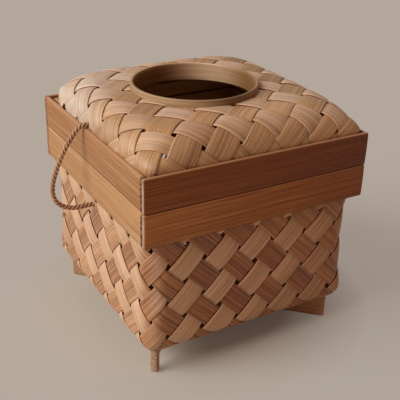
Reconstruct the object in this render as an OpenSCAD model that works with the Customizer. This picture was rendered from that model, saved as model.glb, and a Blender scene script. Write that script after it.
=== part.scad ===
// Woven bamboo tissue box: a square basket on crossed runners, and a pillow-shaped
// woven lid with a round collar, tied together by a short cord on the left side.
// Millimetres, +Z up. The origin is on the floor, under the middle of the box.
// The front is -Y, and the cord is on the -X side.

/* [Box] */
// Outer width of the square rims
box_w = 160; // [130:1:200]
// Height from the underside of the basket to the top of its rim
basket_h = 102; // [80:1:140]
// Radius of the basket's upright corners and of its bottom edges
basket_r = 8; // [5:0.5:16]
// Thickness of the woven wall
weave_t = 2.4; // [1.6:0.1:3.2]

/* [Rims] */
// Height of the outer slats
rim_h = 22; // [18:0.5:30]
// Thickness of the outer slats
rim_t = 3; // [2:0.5:5]
// Radius of the rounded long edges of the slats
slat_edge_r = 0.6; // [0.2:0.1:0.9]
// Gap between the lid's rim and the base's rim when the lid is down
seam_gap = 0.4; // [0.2:0.1:1]

/* [Inner slats] */
// Thickness of the inner slats
inner_t = 2.4; // [2:0.1:4]
// Height of the lip that stands up inside the lid
lip_h = 9; // [4:0.5:11]
// Gap between the top of the lip and the lid's weave
lip_gap = 1.4; // [0.8:0.1:2]

/* [Lid] */
// Rise of the woven crown above the top of the lid's rim
crown_rise = 19.2; // [14:0.1:24]
// Radius of the crown's shoulders, in profile
crown_r = 19; // [12:0.5:22]
// Squareness of the crown, seen from above: a higher power gives tighter corners
crown_square = 5; // [3:0.5:14]
// Drop from the top of the skirt to the top of its inner slats
liner_drop = 1; // [0.5:0.1:3]

/* [Collar] */
// Outer diameter of the collar
collar_d = 85; // [60:1:100]
// Wall of the collar
collar_t = 2.2; // [1.6:0.1:4]
// Height of the collar
collar_h = 12.5; // [9:0.5:20]
// How far the collar stands up above the crown
collar_proud = 4; // [2:0.5:8]
// How far the collar sits to the right of the lid's middle
collar_x = -2.9; // [-6:0.1:6]
// How far the collar sits behind the lid's middle
collar_y = 1.7; // [-6:0.1:6]
// Radius of the collar's rounded edges
collar_edge_r = 0.7; // [0.3:0.1:0.7]

/* [Runners] */
// Height of the runners, from the floor to the basket
runner_h = 19; // [10:0.5:30]
// Thickness of the runners
runner_t = 5; // [3:0.5:9]
// Radius of the rounded ends of the runners, seen from above
runner_end_r = 1.2; // [0.5:0.1:1.4]
// Height of the upper runner's bar, which lies in a notch of the other runner
bar_h = 7; // [5:0.5:9]
// Length of the upper runner's feet
foot_l = 4.5; // [4:0.5:20]

/* [Cord] */
// Diameter of the cord
cord_d = 3.4; // [2:0.1:3.6]
// Diameter of the knots on the cord's ends
knot_d = 6.4; // [5:0.1:8]

/* [Hidden] */
// Radial gap between the collar and the hole that it is glued into
collar_fit = 0.15;
// Gap round the bar of the upper runner in its notch, on each cheek and at the floor
lap_fit = 0.1;
// Gap between a knot and the wall that it bears on
knot_fit = 0.4;
// Overrun of a cutting tool past the face that it cuts
over = 1;

// Half widths of the rim's outside, of the weave's two faces and of the inner slats' inside
rim_half = box_w / 2;
weave_half = rim_half - rim_t;
lining_half = weave_half - weave_t;
inner_half = lining_half - inner_t;

// Levels from the floor up
seam_z = runner_h + basket_h;
base_rim_z = seam_z - rim_h;
lip_top_z = seam_z + lip_h;
lid_rim_z = seam_z + seam_gap;
lid_top_z = lid_rim_z + rim_h;
skirt_z = lip_top_z + lip_gap;
crown_z = lid_top_z + crown_rise;
shoulder_z = crown_z - crown_r;
liner_top_z = min(lid_top_z, shoulder_z) - liner_drop;
collar_z = crown_z + collar_proud - collar_h;

// Runners reach under the corners, as far as the basket's bottom is flat
runner_half = (weave_half - basket_r) * sqrt(2);

// Steps along the crown's shoulder, in an eighth of its way round, and round a small arc
shoulder_steps = 6;
eighth_steps = 9;
arc_steps = 6;

// The cord's middle line, from the lid's weave over the rims and into the basket's weave
cord_route = [
    [-77.4, 8, 145.4], [-80, 8, 145.4], [-82.5, 8, 144.4], [-85, 8, 142],
    [-88, 8, 138], [-92.5, 7.5, 132], [-96.5, 7, 125], [-100, 6.5, 117.5],
    [-102.5, 6, 110], [-103, 6, 104], [-101.5, 5.5, 98], [-97, 5, 93.5],
    [-91, 4.5, 91.2], [-84, 4, 91], [-80, 4, 91], [-77, 4, 91]
];
cord_sides = 8;
lid_knot_z = lid_top_z + knot_fit + knot_d / 2;
knot_reach = crown_r - weave_t - knot_fit - knot_d / 2;
knot_in = sqrt(pow(knot_reach, 2) - pow(max(0, lid_knot_z - shoulder_z), 2));
lid_knot_at = [crown_r - weave_half - knot_in, 8, lid_knot_z];
base_knot_at = [-lining_half + knot_fit + knot_d / 2, 4, 91];

// Power at which a level line is a plain square
SQUARE_POWER = 1e6;
SIDES = ["front", "right", "back", "left"];

WEAVE_COLOR = [0.72, 0.52, 0.33];
SLAT_COLOR = [0.66, 0.45, 0.26];
INNER_COLOR = [0.74, 0.57, 0.37];
COLLAR_COLOR = [0.68, 0.50, 0.30];
RUNNER_COLOR = [0.60, 0.42, 0.27];
CORD_COLOR = [0.48, 0.31, 0.19];

// Rectangle of size w by h about the origin, with round corners
module round_rect(w, h, r) {
    square([w - 2 * r, h], center = true);
    square([w, h - 2 * r], center = true);
    for (sx = [-1, 1], sy = [-1, 1])
        translate([sx * (w / 2 - r), sy * (h / 2 - r)])
            circle(r = r, $fn = 48);
}

// Slat of one side: its outer face is at half from the middle, its lower edge at z0.
// Front and back slats run the full width, and the other two butt against them.
module slat(side, half, t, z0, h) {
    turn = 90 * search([side], SIDES)[0];
    butted = side == "left" || side == "right";
    length = 2 * (butted ? half - t : half);
    rotate([0, 0, turn])
        translate([-length / 2, t / 2 - half, z0 + h / 2])
            rotate([90, 0, 90])
                linear_extrude(height = length)
                    round_rect(t, h, slat_edge_r);
}

// Corner button of the basket: an upright post with a rounded lower edge
module corner_post(r, z0, z1) {
    angles = [for (i = [0:arc_steps]) 90 * i / arc_steps];
    foot = [for (a = angles) [r * sin(a), z0 + r - r * cos(a)]];
    rotate_extrude($fn = 32)
        polygon(concat(foot, [[r, z1], [0, z1]]));
}

// Solid block with round upright corners and a round bottom edge
module pan(half, r, z0, z1) {
    hull()
        for (sx = [-1, 1], sy = [-1, 1])
            translate([sx * (half - r), sy * (half - r), 0])
                corner_post(r, z0, z1);
}

module base_basket() {
    color(WEAVE_COLOR)
        difference() {
            pan(weave_half, basket_r, runner_h, seam_z);
            pan(lining_half, basket_r - weave_t, runner_h + weave_t, seam_z + over);
        }
}

module base_rim(side) {
    color(SLAT_COLOR) slat(side, rim_half, rim_t, base_rim_z, rim_h);
}

// The lip's slats are trimmed to the basket's rounded corners
module base_lip(side) {
    color(INNER_COLOR)
        intersection() {
            slat(side, lining_half, inner_t, base_rim_z, rim_h + lip_h);
            translate([0, 0, base_rim_z - over])
                linear_extrude(height = rim_h + lip_h + 2 * over)
                    round_rect(2 * lining_half, 2 * lining_half, basket_r - weave_t);
        }
}

// Slat on edge along a diagonal, from corner to corner
module runner_slat() {
    linear_extrude(height = runner_h)
        round_rect(2 * runner_half, runner_t, runner_end_r);
}

// Upper runner, from the front left corner: a bar with a foot at each end
module runner_a() {
    span = 2 * (runner_half - foot_l);
    color(RUNNER_COLOR)
        rotate([0, 0, 45])
            difference() {
                runner_slat();
                translate([-span / 2, -runner_t, -over])
                    cube([span, 2 * runner_t, runner_h - bar_h + over]);
            }
}

// Lower runner: a whole slat with a notch in its top for the bar of the other
module runner_b() {
    notch_w = runner_t + 2 * lap_fit;
    notch_h = bar_h + lap_fit;
    color(RUNNER_COLOR)
        rotate([0, 0, -45])
            difference() {
                runner_slat();
                translate([-notch_w / 2, -runner_t, runner_h - notch_h])
                    cube([notch_w, 2 * runner_t, notch_h + over]);
            }
}

// Plan of the crown: its level lines are squares whose corners get tighter towards the rim.
// plan_reach is how far out a line goes towards angle t, if it passes at 1 in front.
function plan_reach(t, power) =
    let (
        c = abs(cos(t)),
        s = abs(sin(t)),
        long = max(c, s),
        ratio = min(c, s) / long
    )
        1 / (long * pow(1 + pow(ratio, power), 1 / power));

// Profile of one face of the crown, from the collar's hole over the shoulder to the skirt's foot.
// Each point is its distance out, its height, the power of its level line, where 2 is a circle,
// and its share of the collar's shift.
function crown_face(half, top, r) = concat(
    [[collar_d / 2 + collar_fit, top, 2, 1], [half - r, top, crown_square, 0]],
    [
        for (i = [1:shoulder_steps])
            let (t = 90 * i / shoulder_steps)
                [half - r + r * sin(t), top - r + r * cos(t), crown_square / max(cos(t), 1 / SQUARE_POWER), 0]
    ],
    [[half, skirt_z, SQUARE_POWER, 0]]
);

// Angle of the i-th step round the crown, with the steps closer together towards the corners
function plan_angle(i) =
    let (
        eighth = floor(i / eighth_steps),
        part = (i % eighth_steps) / eighth_steps
    )
        45 * (eighth % 2 == 0 ? eighth + sin(90 * part) : eighth + 1 - cos(90 * part));

// Woven shell of the lid: its closed profile is carried round the plan
module lid_weave() {
    outer = crown_face(weave_half, crown_z, crown_r);
    inner = crown_face(lining_half, crown_z - weave_t, crown_r - weave_t);
    loop = concat(outer, [for (i = [len(inner) - 1:-1:0]) inner[i]]);
    n = len(loop);
    m = 8 * eighth_steps;
    points = [
        for (i = [0:m - 1], p = loop)
            let (t = plan_angle(i), reach = p[0] * plan_reach(t, p[2]))
                [reach * cos(t) + p[3] * collar_x, reach * sin(t) + p[3] * collar_y, p[1]]
    ];
    faces = [
        for (i = [0:m - 1], j = [0:n - 1])
            let (
                a = i * n + j,
                b = i * n + (j + 1) % n,
                c = (i + 1) % m * n + (j + 1) % n,
                d = (i + 1) % m * n + j
            )
                each [[a, b, c], [a, c, d]]
    ];
    color(WEAVE_COLOR) polyhedron(points = points, faces = faces);
}

module lid_rim(side) {
    color(SLAT_COLOR) slat(side, rim_half, rim_t, lid_rim_z, rim_h);
}

module lid_liner(side) {
    color(INNER_COLOR) slat(side, lining_half, inner_t, skirt_z, liner_top_z - skirt_z);
}

module collar() {
    color(COLLAR_COLOR)
        translate([collar_x, collar_y, collar_z])
            rotate_extrude($fn = 96)
                translate([collar_d / 2 - collar_t / 2, collar_h / 2])
                    round_rect(collar_t, collar_h, collar_edge_r);
}

// Unit vector along v
function unit(v) = v / norm(v);

// Direction of the route at point i
function heading(path, i) = unit(path[min(i + 1, len(path) - 1)] - path[max(i - 1, 0)]);

// Ring of points about point i of the route, square to its direction
function tube_ring(path, i, r) =
    let (
        t = heading(path, i),
        side = unit(cross(t, [0, 1, 0])),
        up = cross(side, t)
    )
        [
            for (k = [0:cord_sides - 1])
                let (a = 360 * k / cord_sides)
                    path[i] + r * (cos(a) * side + sin(a) * up)
        ];

module cord() {
    n = len(cord_route);
    s = cord_sides;
    rings = [for (i = [0:n - 1]) each tube_ring(cord_route, i, cord_d / 2)];
    wall = [
        for (i = [0:n - 2], k = [0:s - 1])
            let (a = i * s + k, b = i * s + (k + 1) % s)
                each [[a, b, b + s], [a, b + s, a + s]]
    ];
    first = [for (k = [1:s - 2]) [0, k + 1, k]];
    last = [for (k = [1:s - 2]) [0, k, k + 1] + (n - 1) * s * [1, 1, 1]];
    color(CORD_COLOR) polyhedron(points = rings, faces = concat(wall, first, last));
}

module knot(at) {
    color(CORD_COLOR) translate(at) sphere(d = knot_d, $fn = 32);
}

base_basket();
for (side = SIDES) {
    base_rim(side);
    base_lip(side);
    lid_rim(side);
    lid_liner(side);
}
runner_a();
runner_b();
lid_weave();
collar();
cord();
knot(lid_knot_at);  // lid_knot
knot(base_knot_at);  // base_knot
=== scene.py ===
# %% [markdown]
# # A woven bamboo tissue box
#
# The real box is a square basket of flat bamboo strips, plaited at 45 degrees, with a pillow-shaped
# woven lid. Slats clamp the edge of each half, a round collar lets the tissue out, and a short
# twisted cord ties the lid to the base. The CAD frame gives the sizes and the moving bodies. This
# lesson loads it and puts the real build in place of the plain woven shells, the slats and the cord.
# All lengths below are in millimetres until a mesh is made, because that is how a maker measures.

import bpy
import numpy as np
from mathutils import Matrix, Vector


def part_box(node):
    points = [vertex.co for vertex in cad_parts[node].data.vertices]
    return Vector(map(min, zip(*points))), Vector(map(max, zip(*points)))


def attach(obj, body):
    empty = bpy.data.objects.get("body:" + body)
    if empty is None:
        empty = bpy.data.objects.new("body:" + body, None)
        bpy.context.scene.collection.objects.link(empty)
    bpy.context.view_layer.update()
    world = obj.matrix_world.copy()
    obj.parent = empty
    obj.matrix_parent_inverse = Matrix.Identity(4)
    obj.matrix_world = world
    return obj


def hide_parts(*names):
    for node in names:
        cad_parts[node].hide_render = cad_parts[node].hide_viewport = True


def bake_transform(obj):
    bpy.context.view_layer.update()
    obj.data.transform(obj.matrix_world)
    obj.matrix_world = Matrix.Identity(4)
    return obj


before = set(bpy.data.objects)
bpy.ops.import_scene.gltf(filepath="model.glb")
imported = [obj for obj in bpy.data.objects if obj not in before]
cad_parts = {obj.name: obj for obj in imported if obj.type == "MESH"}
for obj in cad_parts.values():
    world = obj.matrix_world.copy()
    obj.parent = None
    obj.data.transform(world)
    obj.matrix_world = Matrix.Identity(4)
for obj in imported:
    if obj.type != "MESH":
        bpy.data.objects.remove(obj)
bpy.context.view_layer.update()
MM = 0.001
scene = bpy.context.scene


def node_box(name):
    """Lowest and highest corner of a CAD node, in millimetres."""
    low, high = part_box(name)
    return np.array(low) / MM, np.array(high) / MM


# %% [markdown]
# ## The camera
#
# The picture was taken from the front left, a little above the box, with a normal lens a few steps
# away. A camera could be aimed with a Track To constraint, but a photograph also has a slight roll,
# so its three axes are worked out from three angles and written straight into its matrix.

# %% Camera
def camera_axes(turn, down, roll):
    """Right, up and backward unit vectors of a camera. It looks along +Y, turns towards +X, tilts
    down, and then rolls about its own axis, each by an angle in degrees."""
    turn, down, roll = np.radians([turn, down, roll])
    right = np.array([np.cos(turn), -np.sin(turn), 0.0])
    ahead = np.array([np.sin(turn) * np.cos(down), np.cos(turn) * np.cos(down), -np.sin(down)])
    up = np.cross(right, ahead)
    return np.cos(roll) * right + np.sin(roll) * up, np.cos(roll) * up - np.sin(roll) * right, -ahead


CAMERA_AT = np.array([-244.8, -419.5, 318.6])
CAMERA_ANGLES = (30.57, 26.32, 1.55)
lens = bpy.data.cameras.new("photo_camera")
lens.sensor_width = 36
lens.lens = 68.66
camera = bpy.data.objects.new("photo_camera", lens)
scene.collection.objects.link(camera)
place = np.eye(4)
place[:3, :3] = np.column_stack(camera_axes(*CAMERA_ANGLES))
place[:3, 3] = CAMERA_AT * MM
camera.matrix_world = Matrix(place.tolist())
scene.camera = camera
print("camera stands", round(float(np.linalg.norm(place[:3, 3])), 3), "m from the floor under the box")


# %% [markdown]
# ## From grids to meshes
#
# Every new piece here is a grid of points: rows along it, columns across it or round it. The first
# helper lists the quads between neighbouring points. The last one turns points and quads into a mesh
# with foreach_set, which copies whole arrays and is much quicker than adding vertices one by one. A
# ribbon is the form that comes back most often: a thin closed strip with a top and an underside. A
# closed ring has no ends at all.

# %% Grid helpers
def grid_quads(rows, cols, close_rows=False, close_cols=False):
    """Quads between neighbours on a grid, as the row and the column of each corner. A closed
    direction runs on from its last line to its first, with numbers past the end."""
    r, c = np.meshgrid(np.arange(rows - 1 + close_rows), np.arange(cols - 1 + close_cols), indexing="ij")
    row = np.stack([r, r + 1, r + 1, r], axis=-1).reshape(-1, 4)
    col = np.stack([c, c, c + 1, c + 1], axis=-1).reshape(-1, 4)
    return row, col


def rings(top, under):
    """Two grids as one list, ring by ring: a row of the first, then a row of the second backwards."""
    ring = np.concatenate([top, under[:, ::-1]], axis=1)
    return ring.reshape(ring.shape[0] * ring.shape[1], -1)


def ribbon(top, under, across, along, wider=1.0, **values):
    """Closed strip between two grids of points. Its section is a row of the top read forwards and
    the same row of the underside read backwards, and a chain of quads closes each end. The grain of
    the underside can be spread wider, so that it also runs over the edges between the two. Points of
    the underside are marked with a value of their own."""
    rows, cols = top.shape[:2]
    ring = 2 * cols
    row, col = grid_quads(rows, ring, close_cols=True)
    j = np.arange(cols - 1)
    cap = np.stack([j, j + 1, ring - 2 - j, ring - 1 - j], axis=1)
    faces = np.concatenate([row * ring + col % ring, cap, cap[:, ::-1] + (rows - 1) * ring])
    grids = {k: np.broadcast_to(v, across.shape) for k, v in values.items()}
    stored = {k: rings(v, v).ravel() for k, v in grids.items()}
    stored["under"] = rings(0 * across, 0 * across + 1).ravel()
    return {
        "points": rings(top, under),
        "faces": faces,
        "uv": np.concatenate([rings(across, wider * across), rings(along, along)], axis=1)[faces],
        "finish": np.repeat([0, 1], [len(row), 2 * len(cap)]),
        "values": stored,
    }


def closed_ring(points, across, along, **values):
    """Surface that closes on itself both ways, such as a bent hoop or a tube without ends. across and
    along place its grain by column and by row, with one more of each than there are points."""
    rows, cols = points.shape[:2]
    row, col = grid_quads(rows, cols, close_rows=True, close_cols=True)
    return {
        "points": points.reshape(-1, 3),
        "faces": row % rows * cols + col % cols,
        "uv": np.stack([across[col], along[row]], axis=-1),
        "finish": np.zeros(len(row), int),
        "values": {k: v.ravel() for k, v in values.items()},
    }


def join(parts):
    """One set of points and quads from several, each shifted past the points before it."""
    counts = np.cumsum([0] + [len(p["points"]) for p in parts])
    return {
        "points": np.concatenate([p["points"] for p in parts]),
        "faces": np.concatenate([p["faces"] + n for p, n in zip(parts, counts)]),
        "uv": np.concatenate([p["uv"] for p in parts]),
        "finish": np.concatenate([p["finish"] for p in parts]),
        "values": {k: np.concatenate([p["values"][k] for p in parts]) for k in parts[0]["values"]},
    }


# %% Mesh maker
def make_piece(name, part, body):
    """Mesh object that rides on a body. Quads that enclose a negative volume are turned round, so
    that faces point outwards. The UV map holds metres across and along the grain."""
    points, faces, uv = part["points"], part["faces"], part["uv"]
    a, b, c, d = (points[faces[:, k]] for k in range(4))
    if np.sum(a * np.cross(b, c)) + np.sum(a * np.cross(c, d)) < 0:
        faces, uv = faces[:, ::-1], uv[:, ::-1]
    mesh = bpy.data.meshes.new(name)
    mesh.vertices.add(len(points))
    mesh.vertices.foreach_set("co", (points * MM).astype(np.float32).ravel())
    mesh.loops.add(faces.size)
    mesh.loops.foreach_set("vertex_index", faces.astype(np.int32).ravel())
    mesh.polygons.add(len(faces))
    mesh.polygons.foreach_set("loop_start", np.arange(0, faces.size, 4, dtype=np.int32))
    mesh.polygons.foreach_set("material_index", part["finish"].astype(np.int32))
    mesh.uv_layers.new(name="grain").data.foreach_set("uv", (uv * MM).astype(np.float32).ravel())
    for key, value in part["values"].items():
        mesh.attributes.new(key, "FLOAT", "POINT").data.foreach_set("value", value.astype(np.float32))
    mesh.update(calc_edges=True)
    mesh.shade_smooth()
    piece = bpy.data.objects.new(name, mesh)
    scene.collection.objects.link(piece)
    if body:
        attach(piece, body)
    print(f"{name}: {len(faces)} quads")
    return piece


# %% [markdown]
# ## The cord
#
# A twisted cord of three plies comes out of the lid's weave on the left, hangs in a loop and goes
# into the basket's weave. A curve with a round bevel would give a plain tube. Here the section is
# three overlapping circles, and it turns as it goes along the route, so the plies wind round each
# other as they do in real twine. The route is the one in the CAD source.

# %% Cord route
CORD_ROUTE = np.array([
    [-71.6, 8, 146.6], [-74.6, 8, 145.7], [-77.4, 8, 145.4], [-80, 8, 145.4], [-82.5, 8, 144.4],
    [-85, 8, 142], [-88, 8, 138], [-92.5, 7.5, 132], [-96.5, 7, 125], [-100, 6.5, 117.5],
    [-102.5, 6, 110], [-103, 6, 104], [-101.5, 5.5, 98], [-97, 5, 93.5], [-91, 4.5, 91.2],
    [-84, 4, 91], [-80, 4, 91], [-77, 4, 91], [-74.4, 4, 91], [-71.6, 4, 91],
])
ROUTE_STEP = 0.35


def smooth_route(points, spacing):
    """Points at equal steps on a curve through the given ones. Between two points the curve is the
    cubic that has their places and their slopes, which come from their neighbours."""
    t = np.concatenate([[0], np.cumsum(np.linalg.norm(np.diff(points, axis=0), axis=1))])
    slope = np.gradient(points, t, axis=0)
    fine = np.linspace(0, t[-1], 4000)
    k = np.clip(np.searchsorted(t, fine) - 1, 0, len(t) - 2)
    width = (t[k + 1] - t[k])[:, None]
    f = ((fine - t[k])[:, None]) / width
    curve = (2 * f**3 - 3 * f**2 + 1) * points[k] + (3 * f**2 - 2 * f**3) * points[k + 1]
    curve += width * ((f**3 - 2 * f**2 + f) * slope[k] + (f**3 - f**2) * slope[k + 1])
    length = np.concatenate([[0], np.cumsum(np.linalg.norm(np.diff(curve, axis=0), axis=1))])
    even = np.linspace(0, length[-1], int(length[-1] / spacing) + 1)
    return np.stack([np.interp(even, length, curve[:, i]) for i in range(3)], axis=1), even


cord_path, cord_along = smooth_route(CORD_ROUTE, ROUTE_STEP)
print("cord is", round(float(cord_along[-1]), 1), "mm long")

# %% Cord mesh
CORD_D = 3.4
CORD_LAY = 8.4
CORD_SIDES = 24
PLY_SHARE = 0.53


def twisted_tube(path, along, d, lay, sides, reference=(0, 1, 0)):
    """Rings of a three-ply cord on a path. A ring is the outline of three circles set round the
    middle, turned once for each length of lay. Also gives each point's height above the grooves."""
    ahead = np.gradient(path, axis=0)
    ahead /= np.linalg.norm(ahead, axis=1, keepdims=True)
    side = np.cross(ahead, reference)
    side /= np.linalg.norm(side, axis=1, keepdims=True)
    up = np.cross(side, ahead)
    angle = 2 * np.pi * np.arange(sides) / sides
    turned = angle[None, :] - 2 * np.pi * along[:, None] / lay
    ply = (turned + np.pi / 3) % (2 * np.pi / 3) - np.pi / 3
    ply_r, ply_off = PLY_SHARE * d / 2, (1 - PLY_SHARE) * d / 2
    reach = ply_off * np.cos(ply) + np.sqrt(ply_r**2 - (ply_off * np.sin(ply)) ** 2)
    ring = np.cos(angle)[None, :, None] * side[:, None] + np.sin(angle)[None, :, None] * up[:, None]
    crest = (reach - reach.min()) / (reach.max() - reach.min())
    return path[:, None] + reach[..., None] * ring, crest


cord_rings, cord_crest = twisted_tube(cord_path, cord_along, CORD_D, CORD_LAY, CORD_SIDES)
half_ring = CORD_SIDES // 2
cord_part = ribbon(
    cord_rings[:, :half_ring],
    cord_rings[:, half_ring:][:, ::-1],
    np.tile(np.arange(half_ring) * CORD_D * np.pi / CORD_SIDES, (len(cord_path), 1)),
    np.tile(cord_along[:, None], (1, half_ring)),
)
cord_part["finish"][:] = 0
cord_part["values"]["crest"] = cord_crest.ravel()
cord = make_piece("twisted_cord", cord_part, None)
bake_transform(cord)
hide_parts("cord")

# %% [markdown]
# Each end of the cord is held by a knot on the inside of the weave. A knot is a tube on a closed
# curve that goes twice round its middle while it goes three times through it, which is the simplest
# real knot there is.

# %% Knots
KNOT_ROWS = 240
KNOT_SIDES = 12
KNOT_TURNS = 18
KNOT_TUBE = 0.56
LAP = 3


def knot_part(node):
    """Tube on a closed three-lobed knot that fills the CAD ball of a node: the curve goes twice
    round the Z axis while its distance out and its height swing three times."""
    low, high = node_box(node)
    size = (high[0] - low[0]) / 2
    tube_d = KNOT_TUBE * size
    t = 2 * np.pi * np.arange(KNOT_ROWS) / KNOT_ROWS
    out = 2 + np.cos(3 * t)
    curve = np.stack([out * np.cos(2 * t), out * np.sin(2 * t), np.sin(3 * t)], axis=1)
    curve *= (size - tube_d / 2) / 3
    lapped = np.concatenate([curve[-LAP:], curve, curve[:LAP]])
    step = np.linalg.norm(np.diff(lapped, axis=0), axis=1).mean()
    along = step * np.arange(len(lapped))
    lay = KNOT_ROWS * step / KNOT_TURNS
    tube, crest = twisted_tube(lapped, along, tube_d, lay, KNOT_SIDES, (0.01, 0.02, 1))
    points = tube[LAP:-LAP] + (low + high) / 2
    across = np.arange(KNOT_SIDES + 1) * tube_d / 4
    return closed_ring(points, across, step * np.arange(KNOT_ROWS + 1), crest=crest[LAP:-LAP])


knots = {}
for node, body in {"lid_knot": "lid", "base_knot": "base"}.items():
    knots[node] = make_piece(f"{node}_tied", knot_part(node), body)
    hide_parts(node)

# %% [markdown]
# ## The strips and how they cross
#
# All the weaving uses one kind of strip: split bamboo, 15 mm wide and under 1 mm thick. At each
# crossing it passes over or under its neighbour. A plain cosine would make it ripple like cloth, but
# bamboo is stiff: it lies nearly flat on a crossing and then steps down to the next one. So the rise
# is a square wave with rounded steps, with a little of the cosine on top.

# %% Strip section and rise
WALL = 2.4
STRIP_T = 0.75
STRIP_CROWN = 0.14
BASKET_STRIP_W = 14.8
LID_STRIP_W = 15.8
ACROSS = np.array([-1, -0.975, -0.9, -0.6, -0.2, 0.2, 0.6, 0.9, 0.975, 1])
BODY = np.array([0.5, 0.9, 1, 1, 1, 1, 1, 1, 0.9, 0.5])
ROWS_PER_STEP = 8
FLAT_RISE, RIPPLE = 0.38, 0.32
STEP_SHARE = 0.4
SWAY, SWAY_STEPS = 0.45, 9
rng = np.random.default_rng(28)


def over_under(steps):
    """Rise of a strip, in mm, at a number of steps from a crossing where it lies on top. Crossings
    are one step apart. It is a clipped and rounded cosine plus a small plain one."""
    wave = np.cos(np.pi * steps)
    return FLAT_RISE * np.sin(np.pi / 2 * np.clip(wave / STEP_SHARE, -1, 1)) + RIPPLE * wave


def hand_sway(steps):
    """How far a hand-laid strip wanders to one side, in mm: a slow wave with a phase of its own."""
    return SWAY * np.sin(2 * np.pi * (steps / SWAY_STEPS + rng.uniform(0, 1)))


def hand_width(width, wider):
    """Places across a strip that was split and laid by hand, so it is a little off in width and place."""
    return ACROSS * (width + rng.uniform(-0.6, wider)) / 2 + rng.uniform(-0.4, 0.4)


def strip_ribbon(middle, normal, rise, width, along, pale, aged=0.0):
    """Strip whose middle surface is a grid of points with normals. Both faces are set off from it
    along the normal, and the outer one is crowned a little across its width. pale, from 0 to 1, is
    how much of the lighter tone it has, which carries painted sheen and painted shade. The last value
    turns pale strips grey, as painted sheen, and tan strips olive, as painted shade."""
    crown = STRIP_CROWN * (1 - ACROSS**2)
    top = middle + normal * (rise + STRIP_T / 2 * BODY + crown)[..., None]
    under = middle + normal * (rise - STRIP_T / 2 * BODY)[..., None]
    shade, seed = rng.uniform(0, 1, 2)
    edge = np.broadcast_to(np.abs(ACROSS), width.shape)
    return ribbon(top, under, width, along, shade=shade, seed=seed, edge=edge, pale=pale, aged=aged)


print("weave thickness in mm:", round(float(2 * over_under(0) + STRIP_T + STRIP_CROWN), 2), "of", WALL)


# %% [markdown]
# ## The basket
#
# Unfolded, the basket is a flat plait: strips at 45 degrees to its edges that turn up from the bottom
# onto the sides and run straight on round the upright corners. So each strip is drawn on the faces of
# a sharp-edged box first. Where its width hangs over an edge, the overhang is folded down onto the
# next face. A last function rounds the box's edges and corners and gives the outward normal. The
# upright corners of a real basket give way between its bottom and its rim, so they are rounder there.

# %% Box that the strips are folded round
basket_low, basket_high = node_box("base_basket")
RIM_FOOT = node_box("base_rim_front")[0][2]
OUTER_R = 8.0
BASKET_R = OUTER_R - WALL / 2
SOFT_R = 7.0
SOFT_HEIGHTS = [30, 46, 66, 90, RIM_FOOT]
SOFT_SHARES = [0, 0.7, 1, 1, 0]
BASKET_HALF = basket_high[0] - WALL / 2
BASKET_FLOOR = basket_low[2] + WALL / 2
FOLD_BELOW = 1.3
FIRST_ROW = basket_low[2] - FOLD_BELOW
SIDE = 2 * BASKET_HALF
STEPS = 12
BASE_STEP = SIDE / STEPS
ROOT2 = np.sqrt(2)
print("basket strips cross every", round(float(ROOT2 * BASE_STEP), 2), "mm")


def on_side(s, z):
    """Point on the sharp box at a distance s round its sides, counted from the front left corner
    along the front, and at height z. Below the bottom edge it is folded in under the box."""
    side = np.floor(s / SIDE).astype(int) % 4
    along = s % SIDE - BASKET_HALF
    out = BASKET_HALF - np.maximum(FIRST_ROW - z, 0)
    x = np.choose(side, [along, out, -along, -out])
    y = np.choose(side, [-out, along, out, -along])
    return np.stack([x, y, np.maximum(z, FIRST_ROW)], axis=-1)


def on_bottom(x, y):
    """Point on the bottom of the sharp box. Past an edge it is folded up onto the side."""
    over = np.maximum(abs(x) - BASKET_HALF, 0) + np.maximum(abs(y) - BASKET_HALF, 0)
    limit = BASKET_HALF
    return np.stack([np.clip(x, -limit, limit), np.clip(y, -limit, limit), FIRST_ROW + over], axis=-1)


def round_edges(sharp):
    """Rounded box: a point of the sharp box is drawn towards the nearest point of a smaller box
    inside it, until it is one radius away. The direction between the two is the normal. Upright
    corners are softer between the bottom and the rim, where nothing holds them, and there the points
    are spread so that equal steps on the sharp box stay equal on the round."""
    flat, z = sharp[..., :2], sharp[..., 2:]
    soft = np.interp(z, SOFT_HEIGHTS, SOFT_SHARES)
    radius = BASKET_R + SOFT_R * soft
    inner = BASKET_HALF - radius
    past = np.maximum(abs(flat) - inner, 0) / radius
    past = past + soft * (np.tan(np.pi / 4 * past) - past)
    core = np.sign(flat) * np.minimum(abs(flat), inner)
    below = np.minimum(z - BASKET_FLOOR - BASKET_R, 0)
    away = np.concatenate([np.sign(flat) * radius * past, below], axis=-1)
    normal = away / np.linalg.norm(away, axis=-1, keepdims=True)
    core = np.concatenate([core, np.maximum(z, BASKET_FLOOR + BASKET_R)], axis=-1)
    return core + radius * normal, normal


# %% Ways of the basket's strips, and their painted sheen and shade
def leaves_bottom(i, j, dx, dy):
    """Where a strip that heads for dx, dy leaves the bottom: its distance round the sides, and 1 if
    it climbs to the right, or -1 if it climbs to the left, seen from outside."""
    if j == 0:
        return BASE_STEP * i, dx
    if i == STEPS:
        return SIDE + BASE_STEP * j, dy
    if j == STEPS:
        return 2 * SIDE + BASE_STEP * (STEPS - i), -dx
    return 3 * SIDE + BASE_STEP * (STEPS - j), -dy


def painted_light_share(s, turn):
    """Share of the lighter tone at a distance s round the sides, as painted sheen: strips that climb to
    the right are lighter in front and at the back, and those that climb to the left are lighter on the
    left and right, where the others are less dark too. In front and at the back all strips also get
    darker towards the right, as painted shade."""
    front = np.clip(5 * np.sin(np.pi * s / SIDE), -1, 1)
    # Painted shade that darkens the front and the back towards the right.
    painted_falloff = np.maximum(front, 0) * (0.8 * (s / SIDE % 1) - 0.2)
    least = -0.45 * front
    return np.clip(np.maximum(0.5 + 0.5 * turn * front - painted_falloff, least), 0, 1)


# %% Basket strips
CUT_BELOW = 1.5


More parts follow.
